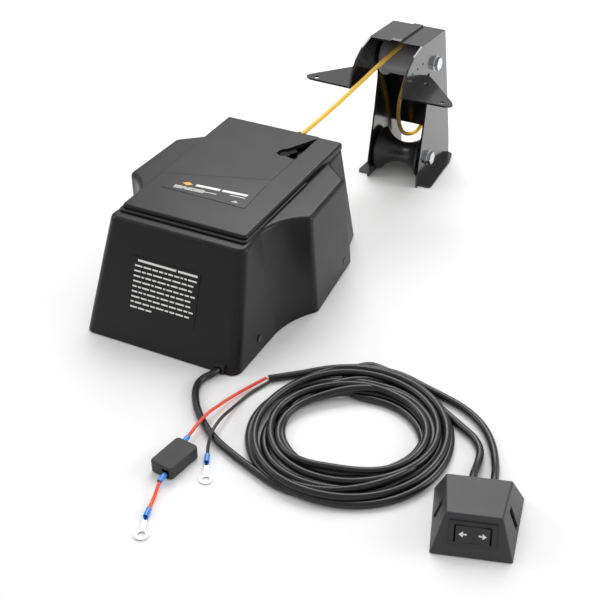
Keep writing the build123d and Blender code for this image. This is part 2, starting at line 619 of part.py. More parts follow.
def on_face(part):
    """From the switch's frame (x across, y into the box, z up the face) to the kit's."""
    return at_box(part.moved(face_at))


with BuildPart() as shell:
    add(box_shape(0, 0.8, BOX_H))
    fillet(shell.edges().filter_by(lambda e: (e @ 0.5).Z > 1.5), 2.5)
    add(box_shape(BOX_WALL, 0.8, BOX_H - BOX_WALL), mode=Mode.SUBTRACT)
    add(block(-SWITCH_W / 2 + 1.5, SWITCH_W / 2 - 1.5, -5, 8, -SWITCH_H / 2 + 1.5,
              SWITCH_H / 2 - 1.5).moved(face_at), mode=Mode.SUBTRACT)
    # a slot down each flank, and the two cable holes in the rear
    for side in (-1, 1):
        slot = flat_plate([(30, 38), (50, 38), (50, 47), (30, 47)], 5, 31)
        add(slot if side > 0 else slot.mirror(Plane.YZ), mode=Mode.SUBTRACT)
    for u in (-8, 14):
        add(Cylinder(6.0, 16, rotation=(90, 0, 0), mode=Mode.PRIVATE).moved(Location((u, 86, 12))),
            mode=Mode.SUBTRACT)
save(at_box(shell.part), "switch_box")

with BuildPart() as floor_plate:
    add(box_shape(BOX_WALL + 0.6, 0, 2.5))
    for u, v in ((-31, 10), (31, 10), (-34, 82), (34, 82)):
        add(post(u, v, -1, 4, 1.7), mode=Mode.SUBTRACT)
save(at_box(floor_plate.part), "switch_base")
save(joined([at_box(post(u, v, 0, 6, 1.5)) for u, v in ((-31, 10), (31, 10), (-34, 82), (34, 82))]),
     "switch_screws")

RW, RH = ROCKER_W / 2, ROCKER_H / 2
with BuildPart() as bezel:
    add(block(-SWITCH_W / 2, SWITCH_W / 2, -1.6, -0.05, -SWITCH_H / 2, SWITCH_H / 2))
    add(block(-RW - 2.5, RW + 2.5, -0.5, 20, -RH - 2, RH + 2))
    add(block(-RW - 0.6, RW + 0.6, -3, 12, -RH - 0.5, RH + 0.5), mode=Mode.SUBTRACT)
    add(post(0, 5.5, -RH - 3, RH + 3, 1.5), mode=Mode.SUBTRACT)
save(on_face(bezel.part), "switch_bezel")
save(on_face(post(0, 5.5, -RH - 2, RH + 2, 1.45)), "rocker_pin")

# the rocker's face is two shallow slopes meeting at the pivot
with BuildPart() as rocker_body:
    with BuildSketch(Plane.XY.offset(-RH)):
        with BuildLine():
            Polyline((-RW + 1.2, -3.6), (0, -1.6), (RW - 1.2, -3.6), (RW - 0.9, 2.2), (4, 9), (-4, 9), (-RW + 0.9, 2.2),
                     close=True)
        make_face()
    extrude(amount=2 * RH)
    add(post(0, 5.5, -RH - 1, RH + 1, 1.5), mode=Mode.SUBTRACT)
save(on_face(rocker_body.part), "rocker")
with BuildPart() as blades:
    for x in (-12, -4, 4, 12):
        add(block(x - 0.4, x + 0.4, 20, 28, -3, 3))
save(on_face(blades.part), "switch_blades")

grommets = []
for u in (-8, 14):
    ring = Cylinder(5.9, 9, rotation=(90, 0, 0), mode=Mode.PRIVATE) - Cylinder(
        CABLE_D / 2 + 0.1, 12, rotation=(90, 0, 0), mode=Mode.PRIVATE)
    grommets.append(at_box(ring.moved(Location((u, 87.5, 12)))))
save(joined(grommets), "switch_grommets")

# ================================================================ rope
t0 = Vector(-5.5, 29, 120.9)
rope_pts = [t0, Vector(22, 151, 132.6), (76.2, 367.1, 198.3), (75.0, 389.4, 181.8), (62, 392, 126),
            (51, 394, 84), (48.5, 396, 52), (53, 409, 20.5), (70, 441, 20.5), (76, 437, 70)]
save(tube(rope_pts, 2 * ROPE_R, "rope"), "rope_run")
save(Sphere(8.5).moved(Location((77.3, 436.4, 78.8))), "rope_knot")

# ================================================================ cables
R = CABLE_D / 2
cable_pts = [(82, COVER_FRONT + 10, 5.6), (82, COVER_FRONT - 6, 5.6), (71, COVER_FRONT - 24, 4.4),
             (77, -214, 4.3), (100, -244, 4.3), (135, -271, 4.3), (172, -286.5, 4.3), (186, -292, 4.3)]
save(tube(cable_pts, CABLE_D, "winch cable"), "winch_cable")
with BuildPart() as coil:
    with BuildSketch():
        with Locations((COIL_X, COIL_Y)):
            Circle(COIL_OUT)
            Circle(COIL_IN, mode=Mode.SUBTRACT)
    extrude(amount=COIL_H)
    fillet(coil.edges(), 8)
save(coil.part, "cable_coil")


def box_point(u, v, z):
    """A point of the switch box's frame in the kit's frame, mm."""
    a = radians(BOX_TURN)
    return (BOX_X + u * cos(a) - v * sin(a), BOX_Y + u * sin(a) + v * cos(a), z)


in_pts = [box_point(-8, 84, 12), box_point(-8, 104, 12), box_point(-6, 122, 6), (399, -166, 4.4),
          (386, -150, 4.3), (374, -143, 4.3)]
save(tube(in_pts, CABLE_D, "switch cable, inner"), "switch_cable_inner")
out_pts = [box_point(14, 84, 12), box_point(14, 104, 12), box_point(14, 126, 6), (406, -150, 4.4),
           (384, -124, 4.3), (356, -108, 4.3), (324, -100, 4.3)]
save(tube(out_pts, CABLE_D, "switch cable, outer"), "switch_cable_outer")
supply_pts = [(140, -157, 4.4), (158, -142, 4.3), (174, -128, 4.3), (183, -121.5, 4.3)]
save(tube(supply_pts, CABLE_D, "supply cable"), "supply_cable")

# ================================================================ leads, breaker, terminals
L = LEAD_D / 2
red_a = [(137.8, -158.4, 5.8), (126, -181, 3.5), (118.5, -203, 4), (115, -226, 7), (114.2, -244, 11.2),
         (113.6, -264, 11.2), (113.2, -280, 8.5), (113.2, -293, 7.6)]
save(tube(red_a, LEAD_D, "red lead, cable side"), "red_lead_cable")
black = [(142.4, -160.6, 2.9), (133.5, -181, 1.9), (130, -202, 2.2), (130, -226, 6), (131.2, -246, 11.4),
         (133.5, -270, 11.4), (138.5, -286, 6), (143.3, -295.6, 3.2), (145.2, -299.4, 3)]
save(tube(black, LEAD_D, "black lead"), "black_lead")
red_b = [(122.5, -346.5, 7), (123.2, -356.5, 7), (127.5, -372, 3.2), (130.5, -383, 3), (133.5, -394, 3)]
save(tube(red_b, LEAD_D, "red lead, battery side"), "red_lead_battery")


def along_floor(p, q, part):
    """Place a piece modelled along +X so it runs from p toward q."""
    turn = degrees(atan2(q[1] - p[1], q[0] - p[0]))
    return part.moved(Location(p, (0, 0, turn)))


def crimp(length):
    return rod(0, length, 0, 0, 2.9, L + 0.35)


def ring_terminal(hole_r, outer_r, reach):
    """A flat ring on a tongue, lying on the deck, the ring's centre `reach` along +X."""
    with BuildPart() as ring:
        with BuildSketch(Plane.XY.offset(-0.5)):
            with Locations((reach, 0)):
                Circle(outer_r)
            with Locations((reach / 2, 0)):
                Rectangle(reach, 4.5)
            with Locations((reach, 0)):
                Circle(hole_r, mode=Mode.SUBTRACT)
        extrude(amount=1.0)
    return ring.part


sleeves = [along_floor((132.7, -391, 3.0), (136, -403), crimp(11)),
           along_floor((143.6, -296.2, 3.0), (149, -307), crimp(11)),
           along_floor((113.2, -285, 7.8), (113.6, -296), crimp(11.5)),
           along_floor((123.2, -356.5, 7.0), (122.4, -345.5), crimp(11.5))]
save(joined(sleeves), "crimp_sleeves")
rings = [along_floor((136.1, -402.6, 1.2), (145, -424), ring_terminal(4.3, 7.2, 22)),
         along_floor((149.2, -307.0, 1.2), (161, -328), ring_terminal(4.3, 6.6, 23))]
save(joined(rings), "ring_terminals")

# breaker: a case with two studs in a rubber boot
with BuildPart() as boot:
    Box(46, 29, 15)
    fillet(boot.edges().filter_by(Axis.Z), 5)
    fillet(boot.edges().filter_by(Axis.X), 2)
    Box(41, 24, 10, mode=Mode.SUBTRACT)
    for x, y in ((-23, -7), (23, 7)):
        with Locations((x, y, 0)):
            Box(8, 9, 10, mode=Mode.SUBTRACT)
boot_at = Location((118.5, -320, 7.6), (0, 0, -98))
save(boot.part.moved(boot_at), "breaker_boot")
with BuildPart() as breaker:
    Box(26, 20, 9.6)
    Cylinder(2.3, 34, rotation=(0, 90, 0))
save(breaker.part.moved(boot_at), "breaker")
print(len(NODES), "nodes")
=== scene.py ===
# %% [markdown]
# # Electric anchor winch kit
# The looks of a deck winch under a black moulded cover, the bow davit its yellow rope
# runs through, a wedge-shaped rocker switch box, a loose coil of cable and two leads
# with ring terminals. Metres, +Z up, the deck at z = 0.

import bpy
import numpy as np
from mathutils import Matrix, Vector


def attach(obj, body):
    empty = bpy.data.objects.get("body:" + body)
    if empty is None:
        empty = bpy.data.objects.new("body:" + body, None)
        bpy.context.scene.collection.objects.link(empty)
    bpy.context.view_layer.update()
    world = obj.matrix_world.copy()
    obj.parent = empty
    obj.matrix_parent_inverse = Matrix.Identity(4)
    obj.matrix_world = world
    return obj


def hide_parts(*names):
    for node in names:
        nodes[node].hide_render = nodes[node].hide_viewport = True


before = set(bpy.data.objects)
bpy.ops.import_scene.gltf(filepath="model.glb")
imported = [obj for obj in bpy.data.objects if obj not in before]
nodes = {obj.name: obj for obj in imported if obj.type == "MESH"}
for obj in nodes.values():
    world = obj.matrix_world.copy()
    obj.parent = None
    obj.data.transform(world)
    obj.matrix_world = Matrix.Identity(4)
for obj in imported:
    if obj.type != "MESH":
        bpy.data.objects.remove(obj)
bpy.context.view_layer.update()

# %% [markdown]
# ## Camera
# The camera could be turned by hand or made to track a target. Here its three axes are worked
# out from two angles and a small roll, so the view can be repeated.

# %% Camera
AZIMUTH, ELEVATION, ROLL = np.radians([28.7612, 35.0369, -1.63])
CAMERA_AT = (0.7267, -1.1468, 0.9178)
LENS_MM, FILM_MM = 78.06, 36.0

level = np.cos(ELEVATION)
back = np.array([np.sin(AZIMUTH) * level, -np.cos(AZIMUTH) * level, np.sin(ELEVATION)])
right = np.array([np.cos(AZIMUTH), np.sin(AZIMUTH), 0.0])
up = np.cross(back, right)
camera_x = right * np.cos(ROLL) + up * np.sin(ROLL)
camera_y = -right * np.sin(ROLL) + up * np.cos(ROLL)

lens = bpy.data.cameras.new("camera")
lens.lens, lens.sensor_width = LENS_MM, FILM_MM
lens.clip_start, lens.clip_end = 0.05, 40.0
camera = bpy.data.objects.new("camera", lens)
axes = np.column_stack([camera_x, camera_y, back, CAMERA_AT])
camera.matrix_world = Matrix([*axes.tolist(), [0, 0, 0, 1]])
bpy.context.collection.objects.link(camera)
bpy.context.scene.camera = camera
print(f"camera at {CAMERA_AT}, {LENS_MM} mm lens")


# %% [markdown]
# ## Cords
# Cables, leads and the rope are soft and lie in easy curves. They could be swept meshes or
# Bezier curves with handles. One NURBS line of order 3 is used for each, because it bends
# smoothly near a few given control points and has no handles to keep in step.

# %% Cord maker
def linked(name, data):
    """A new object for some data, in the scene and at the origin."""
    piece = bpy.data.objects.new(name, data)
    bpy.context.collection.objects.link(piece)
    return piece


def cord_line(name, points, thick):
    """A round cord: one open NURBS spline of order 3 with a round section."""
    curve = bpy.data.curves.new(name, "CURVE")
    curve.dimensions = "3D"
    spline = curve.splines.new("NURBS")
    spline.points.add(len(points) - 1)
    for point, place in zip(spline.points, points):
        point.co = (*map(float, place), 1.0)
    spline.order_u = 3
    spline.use_endpoint_u = True
    spline.resolution_u = 8
    curve.bevel_depth, curve.bevel_resolution = thick / 2, 5
    curve.use_fill_caps = True
    return linked(name, curve)


def centreline(points, steps=8):
    """The points read back from the smooth line through a route."""
    probe = cord_line("probe", points, 0.0)
    probe.data.splines[0].resolution_u = steps
    bpy.context.view_layer.update()
    mesh = bpy.data.meshes.new_from_object(probe)
    line = np.array([v.co[:] for v in mesh.vertices])
    bpy.data.objects.remove(probe)
    return line


def run_length(line):
    """Length along a row of points, in metres."""
    return float(np.linalg.norm(np.diff(line, axis=0), axis=1).sum())


# %% [markdown]
# ### The two cables and their coil
# One cable comes from the winch, the other carries the supply leads, and both end in the
# switch box. Their spare length lies in one loose oval coil. A physics run could drop them
# into a heap, but would not give the same lay twice. The turns are therefore an oval whose
# reach is a smooth function of the angle, and strands that cross are then pushed apart.

# %% Coil layout
CABLE = 0.0085
COIL_X, COIL_Y = 0.261, -0.205
LONG_WAY = np.radians(28.8)  # the oval's long axis
INNER_EDGE = (0.081, 0.060, 0.068, 0.058)  # reach of the innermost turn: right, back, left, front
OUTER_EDGE = (0.1105, 0.109, 0.107, 0.1055)
WANDER = 0.045  # how far a turn strays across the coil
SPACING = CABLE * 1.03  # strands closer than this push apart
SIDEWAYS, LIFT, EVENING = 0.16, 0.30, 0.45  # share of each correction taken in one round
SINK = 0.0001  # drop in one round
SAME_STRAND = 12  # points this near along one cord are not a crossing


def reach(edge, angle):
    """Distance of an oval edge from the coil's middle: the mean of its four reaches, plus a
    cosine and a sine for their differences, plus cos 2 phi for long way against short way."""
    right_side, back_side, left_side, front_side = edge
    phi = angle - LONG_WAY
    return (
        (right_side + back_side + left_side + front_side) / 4
        + (right_side - left_side) / 2 * np.cos(phi)
        + (back_side - front_side) / 2 * np.sin(phi)
        + (right_side + left_side - back_side - front_side) / 4 * np.cos(2 * phi)
    )


def ring_points(middle, radius, angle):
    """Points on the floor at x = mx + r cos a, y = my + r sin a, one cable radius up."""
    x, y = middle
    height = np.full(np.shape(angle), CABLE / 2)
    return np.column_stack([x + radius * np.cos(angle), y + radius * np.sin(angle), height])


def turns(start_deg, count, spread, per_turn=30):
    """Clockwise turns: radius = inner edge * (1 - a) + outer edge * a, where a, the place across
    the coil, runs through the (turn, a) pairs of `spread` and strays by a small sine."""
    t = np.linspace(0, count, int(count * per_turn) + 1)
    angle = np.radians(start_deg) - 2 * np.pi * t
    where, value = np.array(spread).T
    across = np.interp(t, where, value) + WANDER * np.sin(2.3 * angle + start_deg)
    r = reach(INNER_EDGE, angle) * (1 - across) + reach(OUTER_EDGE, angle) * across
    return ring_points((COIL_X, COIL_Y), r, angle)


def settle(routes, loose, rounds=90):
    """Lift strands off each other: points closer than a diameter push apart, up more than sideways.

    `routes` are arrays of points; `loose` says which of them may move. The first cord lies
    under from its start, the second under from its end.
    """
    points = np.vstack(routes)
    laid = points.copy()
    free = np.concatenate(loose)
    owner = np.concatenate([np.full(len(r), k) for k, r in enumerate(routes)])
    index = np.concatenate([np.arange(len(r)) for r in routes])
    order = np.r_[np.arange(len(routes[0])), len(points) - np.arange(len(routes[1]))]
    apart = (owner[:, None] != owner[None, :]) | (np.abs(index[:, None] - index[None, :]) > SAME_STRAND)
    later = np.sign(order[:, None] - order[None, :])
    for _ in range(rounds):
        gap = points[:, None, :] - points[None, :, :]
        dist = np.linalg.norm(gap, axis=2) + 1e-9
        near = apart & (dist < SPACING)
        push = np.where(near, SPACING - dist, 0.0)
        flat = (gap[..., :2] / dist[..., None] * push[..., None]).sum(axis=1)
        points[free, :2] += SIDEWAYS * flat[free]
        points[free, 2] += LIFT * (push * np.clip(later, 0, 1)).sum(axis=1)[free]
        shift = points - laid
        inside = free[1:-1] & (owner[:-2] == owner[2:])
        evened = shift.copy()
        evened[1:-1][inside] = (shift[:-2] + shift[2:])[inside] / 2
        points = points + EVENING * (evened - shift) * free[:, None]
        points[free, 2] -= SINK
        points[free, 2] = np.maximum(points[free, 2], CABLE / 2)
    cuts = np.cumsum([len(r) for r in routes])[:-1]
    return np.split(points, cuts)


# %% [markdown]
# ### Laying both cables
# The winch cable joins the coil one way round and leaves it the other way, so somewhere under
# the heap it turns back on itself. The two switch cables leave side by side. The free runs are
# short lists of given points, and only the coil between them is worked out.

# %% Both cables, laid and settled
BOX_FOOT, BOX_TURN = (.444, -.3085), np.radians(16.4)  # the switch box's front foot and its turn
SWING_R, SWING_ARM, SWING_DEG = .029, .094, 101  # the hidden turn back
LEAD_IN_POINTS, SWING_POINTS = 18, 9

WINCH_START = [(.082, -.158, .0056), (.082, -.174, .0056), (.071, -.192, .0044), (.077, -.214, .0043),
               (.100, -.244, .0043), (.135, -.271, .0043), (.172, -.2865, .0043)]
BOX_IN = [(.374, -.143, .0043), (.386, -.150, .0043), (.399, -.166, .0044)]
BOX_OUT = [(.324, -.100, .0043), (.356, -.108, .0043), (.384, -.124, .0043), (.406, -.150, .0044)]
SUPPLY_END = [(.140, -.157, .0044), (.158, -.142, .0043), (.174, -.128, .0043)]


def box_point(u, v, z):
    """A point of the switch box: u across it, v back from its front foot."""
    across, behind = np.cos(BOX_TURN), np.sin(BOX_TURN)
    return (BOX_FOOT[0] + u * across - v * behind, BOX_FOOT[1] + u * behind + v * across, z)


BOX_IN += [box_point(-.006, .122, .006), box_point(-.008, .104, .012), box_point(-.008, .084, .012)]
BOX_OUT += [box_point(.014, .126, .006), box_point(.014, .104, .012), box_point(.014, .084, .012)]

# the winch cable runs forward round the front, turns back on itself at the far side,
# and then goes round with the other one
ahead = np.radians(np.linspace(238, 448, LEAD_IN_POINTS))
lead_in = np.linspace(.109, .066, LEAD_IN_POINTS)
swing_way = np.radians(SWING_DEG)
swing_at = np.array([COIL_X, COIL_Y]) + SWING_ARM * np.array([np.cos(swing_way), np.sin(swing_way)])
swing = np.radians(np.linspace(SWING_DEG + 180, SWING_DEG, SWING_POINTS))
first = np.vstack([
    ring_points((COIL_X, COIL_Y), lead_in, ahead),
    ring_points(swing_at, SWING_R, swing),
    turns(84, 3.08, [(0, 1.12), (.15, 1.0), (.6, .93), (1.1, .62), (1.6, .5), (2.1, .1), (2.6, .0),
                     (2.85, .4), (3.08, 1.0)])])
second = turns(131, 4.17, [(0, 1.14), (.15, 1.0), (.6, .86), (1.1, .74), (1.6, .36), (2.1, .27), (2.6, .04),
                           (3.0, .22), (3.5, .62), (4.0, .98), (4.17, 1.12)])
# the coil's points may move, and so may a point or two of the runs that join it
routes = [np.vstack([WINCH_START, first, BOX_IN]), np.vstack([SUPPLY_END, second, BOX_OUT])]
loose = [np.r_[np.zeros(6, bool), np.ones(len(first) + 2, bool), np.zeros(len(BOX_IN) - 1, bool)],
         np.r_[np.zeros(3, bool), np.ones(len(second) + 2, bool), np.zeros(len(BOX_OUT) - 2, bool)]]
winch_route, supply_route = settle(routes, loose)
supply_route = supply_route[::-1]

winch_lead = cord_line("winch_cable_line", winch_route, CABLE)
supply_lead = cord_line("supply_cable_line", supply_route, CABLE)
winch_length, supply_length = (run_length(centreline(r, 4)) for r in (winch_route, supply_route))
print(f"winch cable {winch_length:.3f} m, supply cable {supply_length:.3f} m, "
      f"coil height {max(winch_route[:, 2].max(), supply_route[:, 2].max()) * 1000:.1f} mm")

# %% [markdown]
# ### The leads
# A red and a black lead come out of the stripped end of the supply cable, where its pale
# filler shows. The red one runs through the breaker. They are thin and limp, so each is a
# cord through a handful of points that rise and fall a few millimetres off the floor.

# %% Leads
cut_end = (Vector(SUPPLY_END[0]) - Vector(SUPPLY_END[1])).normalized()
filler_at = [Vector(SUPPLY_END[0]) + cut_end * step for step in (-.0030, -.0010, .0007, .0012)]
filler = cord_line("jacket_filler", filler_at, 0.0066)

LEAD = 0.0036
RED_A = [(.1378, -.1584, .0058), (.126, -.181, .0035), (.1185, -.203, .004), (.115, -.226, .007),
         (.1142, -.244, .0112), (.1136, -.264, .0112), (.1132, -.280, .0085), (.1132, -.293, .0076)]
BLACK = [(.1424, -.1606, .0029), (.1335, -.181, .0019), (.130, -.202, .0022), (.130, -.226, .006),
         (.1312, -.246, .0114), (.1335, -.270, .0114), (.1385, -.286, .006), (.1433, -.2956, .0032),
         (.1452, -.2994, .003)]
RED_B = [(.1225, -.3465, .007), (.1232, -.3565, .007), (.1275, -.372, .0032), (.1305, -.383, .003),
         (.1335, -.394, .003)]
red_a = cord_line("red_lead_line", RED_A, LEAD)
black = cord_line("black_lead_line", BLACK, LEAD)
red_b = cord_line("battery_lead_line", RED_B, LEAD)

# %% [markdown]
# ### The rope
# A thin braided rope, whose strands wind both ways round and pass over and under each other.
# Every strand could be its own tube, or the braid a bump on a plain cylinder. Here one tube's
# radius rises where a strand comes over and falls where it dives under, which gives a braided
# outline with one closed surface. The strand count is a choice that reads well at this size.

# %% Rope
ROPE = 0.006
ROPE_POINTS = [(-.0055, .029, .1209), (.022, .151, .1326), (.0762, .3671, .1983), (.075, .3894, .1818),
               (.062, .392, .126), (.051, .394, .084), (.0485, .396, .052), (.053, .409, .0205),
               (.070, .441, .0205), (.076, .437, .070)]


def plaited_tube(name, line, radius, sides=24, step=0.0011, strands=6, lay=0.017, depth=0.07):
    """A braided rope about a line: radius = R (1 - d + d h), where h is |sin(n/2 (a + k s))| or
    |sin(n/2 (a - k s))|, whichever strand is over, at angle a round and distance s along."""
    s = np.r_[0, np.cumsum(np.linalg.norm(np.diff(line, axis=0), axis=1))]
    at = np.linspace(0, s[-1], int(s[-1] / step))
    mid = np.column_stack([np.interp(at, s, line[:, k]) for k in range(3)])
    along = np.gradient(mid, axis=0)
    along /= np.linalg.norm(along, axis=1)[:, None]
    side = np.zeros_like(along)
    side[0] = np.cross(along[0], (0, 0, 1))
    for k in range(1, len(at)):
        side[k] = side[k - 1] - along[k] * (side[k - 1] @ along[k])
        side[k] /= np.linalg.norm(side[k])
    other = np.cross(along, side)
    a = np.linspace(0, 2 * np.pi, sides, endpoint=False)
    turn = 2 * np.pi * at[:, None] / lay
    one = np.abs(np.sin(strands / 2 * (a[None, :] + turn)))
    two = np.abs(np.sin(strands / 2 * (a[None, :] - turn)))
    over = np.sin(strands / 2 * a[None, :]) * np.sin(strands / 2 * turn) > 0
    height = np.where(over, one, two)
    r = radius * (1 - depth + depth * height)
    grid = (mid[:, None, :] + r[..., None] * (side[:, None, :] * np.cos(a)[None, :, None]
                                             + other[:, None, :] * np.sin(a)[None, :, None]))
    n = len(at)
    i, j = np.meshgrid(np.arange(n - 1), np.arange(sides), indexing="ij")
    quads = np.stack([i * sides + j, i * sides + (j + 1) % sides, (i + 1) * sides + (j + 1) % sides,
                      (i + 1) * sides + j], axis=-1).reshape(-1, 4)
    verts = np.vstack([grid.reshape(-1, 3), mid[0], mid[-1]])
    k = np.arange(sides)
    caps = [(n * sides, (q + 1) % sides, q) for q in k] + [
        (n * sides + 1, (n - 1) * sides + q, (n - 1) * sides + (q + 1) % sides) for q in k]
    mesh = bpy.data.meshes.new(name)
    mesh.from_pydata(verts.tolist(), [], quads.tolist() + [tuple(map(int, c)) for c in caps])
    # the braid's height, 1 on a crown and 0 between strands, kept for the rope's painted shade
    shade = mesh.attributes.new("groove_shade", "FLOAT", "POINT")
    shade.data.foreach_set("value", np.r_[height.ravel(), 1, 1])
    mesh.polygons.foreach_set("use_smooth", [True] * len(mesh.polygons))
    return linked(name, mesh)


rope_line = centreline(ROPE_POINTS, 16)
rope = plaited_tube("rope_line", rope_line, ROPE / 2)
print(f"rope {run_length(rope_line):.3f} m")

# the stopper knot is a trefoil: x = sin t + 2 sin 2t, y = -sin 3t, z = cos t - 2 cos 2t
t = np.linspace(0, 2 * np.pi, 90)
knot_line = np.column_stack([
    .0773 + .00165 * (np.sin(t) + 2 * np.sin(2 * t)), .4364 + .0021 * -np.sin(3 * t),
    .0788 + .00175 * (np.cos(t) - 2 * np.cos(2 * t))])
knot = plaited_tube("stopper_knot", knot_line, ROPE / 2)


# %% [markdown]
# ## Shared surface effects
# Moulded plastic and paint are never quite even: they have a fine grain, and handling leaves
# slow patches of shine. The grain also paints shade into the colour, darker in its hollows and
# lighter on its rises. Each material could carry its own noise. Two shared groups feed them
# all instead, so that the grain is set up once and only its scale and height change.

# %% Shader groups
def group_of(name, inputs, outputs):
    """A new shader group with named sockets, and its two ends."""
    tree = bpy.data.node_groups.new(name, "ShaderNodeTree")
    for label, value in inputs:
        socket = tree.interface.new_socket(label, in_out="INPUT", socket_type="NodeSocketFloat")
        socket.default_value = value
    for label, kind in outputs:
        tree.interface.new_socket(label, in_out="OUTPUT", socket_type=kind)
    return tree, tree.nodes.new("NodeGroupInput"), tree.nodes.new("NodeGroupOutput")


def moulded_grain():
    """Fine texture of a moulded or painted surface: a normal, and a mask of its hollows for painted shade in
    the colour.
    """
    tree, source, sink = group_of("moulded_grain", [("Scale", 900.0), ("Height", 0.2)],
                                  [("Normal", "NodeSocketVector"), ("Hollow_Shade", "NodeSocketFloat")])
    place = tree.nodes.new("ShaderNodeTexCoord")
    noise = tree.nodes.new("ShaderNodeTexNoise")
    noise.inputs["Detail"].default_value = 3.0
    noise.inputs["Roughness"].default_value = 0.6
    bump = tree.nodes.new("ShaderNodeBump")
    bump.inputs["Distance"].default_value = 0.0002
    tree.links.new(place.outputs["Object"], noise.inputs["Vector"])
    tree.links.new(source.outputs["Scale"], noise.inputs["Scale"])
    tree.links.new(noise.outputs["Fac"], bump.inputs["Height"])
    tree.links.new(source.outputs["Height"], bump.inputs["Strength"])
    tree.links.new(bump.outputs["Normal"], sink.inputs["Normal"])
    tree.links.new(noise.outputs["Fac"], sink.inputs["Hollow_Shade"])
    return tree


def handling():
    """Slow blotches that vary roughness a little, as handled plastic and paint do."""
    tree, source, sink = group_of("handling", [("Scale", 26.0), ("Low", 0.35), ("High", 0.5)],
                                  [("Roughness", "NodeSocketFloat")])
    place = tree.nodes.new("ShaderNodeTexCoord")
    noise = tree.nodes.new("ShaderNodeTexNoise")
    noise.inputs["Detail"].default_value = 5.0
    span = tree.nodes.new("ShaderNodeMapRange")
    tree.links.new(place.outputs["Object"], noise.inputs["Vector"])
    tree.links.new(source.outputs["Scale"], noise.inputs["Scale"])
    tree.links.new(noise.outputs["Fac"], span.inputs["Value"])
    tree.links.new(source.outputs["Low"], span.inputs["To Min"])
    tree.links.new(source.outputs["High"], span.inputs["To Max"])
    tree.links.new(span.outputs["Result"], sink.inputs["Roughness"])
    return tree


GRAIN, HANDLING = moulded_grain(), handling()


# %% [markdown]
# ## Finishes
# One function makes each finish from a colour, a roughness and a few settings, and a table
# says which node wears which.

# %% Materials
SMOOTHER, ROUGHER = 0.05, 0.07  # how far handling moves the roughness each way
DARKER, LIGHTER = 0.86, 1.1  # painted shade in the grain's hollows and painted highlight on its rises: how far each moves the colour


def surface(name, colour, rough, metallic=0.0, grain=900.0, height=0.2, coat=0.0, specular=0.5):
    """A Principled material whose roughness and normal come from the shared groups, and whose colour is
    darkened in the grain's hollows as painted shade and lightened on its rises as painted highlight.
    """
    material = bpy.data.materials.new(name)
    material.use_nodes = True
    tree = material.node_tree
    shader = tree.nodes["Principled BSDF"]
    shader.inputs["Metallic"].default_value = metallic
    shader.inputs["Coat Weight"].default_value = coat
    shader.inputs["Coat Roughness"].default_value = 0.12
    shader.inputs["Specular IOR Level"].default_value = specular
    bumps = tree.nodes.new("ShaderNodeGroup")
    bumps.node_tree = GRAIN
    bumps.inputs["Scale"].default_value = grain
    bumps.inputs["Height"].default_value = height
    feel = tree.nodes.new("ShaderNodeGroup")
    feel.node_tree = HANDLING
    feel.inputs["Low"].default_value = rough - SMOOTHER
    feel.inputs["High"].default_value = rough + ROUGHER
    tint = tree.nodes.new("ShaderNodeMix")
    tint.data_type = "RGBA"
    tint.inputs["A"].default_value = (*[c * DARKER for c in colour], 1)
    tint.inputs["B"].default_value = (*[min(1, c * LIGHTER) for c in colour], 1)
    # painted shade and highlight: the grain's hollows darken the colour and its rises lighten it
    tree.links.new(bumps.outputs["Hollow_Shade"], tint.inputs["Factor"])
    tree.links.new(tint.outputs["Result"], shader.inputs["Base Color"])
    tree.links.new(feel.outputs["Roughness"], shader.inputs["Roughness"])
    tree.links.new(bumps.outputs["Normal"], shader.inputs["Normal"])
    return material


def rope_yarn():
    """Yellow yarn, with painted shade: deeper orange down between the strands, where shade falls, and
    brighter on their crowns.
    """
    material = surface("rope_yarn", (1.0, 0.55, 0.03), 0.62, grain=2600.0, height=0.5)
    tree = material.node_tree
    shader = tree.nodes["Principled BSDF"]
    groove_shade = tree.nodes.new("ShaderNodeAttribute")
    groove_shade.attribute_name = "groove_shade"
    tint = tree.nodes.new("ShaderNodeMix")
    tint.data_type = "RGBA"
    tint.inputs["A"].default_value = (0.75, 0.30, 0.01, 1)
    tint.inputs["B"].default_value = (1.0, 0.68, 0.06, 1)
    # painted shade: the colour goes deeper orange where the braid dips between strands
    tree.links.new(groove_shade.outputs["Fac"], tint.inputs["Factor"])
    tree.links.new(tint.outputs["Result"], shader.inputs["Base Color"])
    shader.inputs["Sheen Weight"].default_value = 0.3
    return material


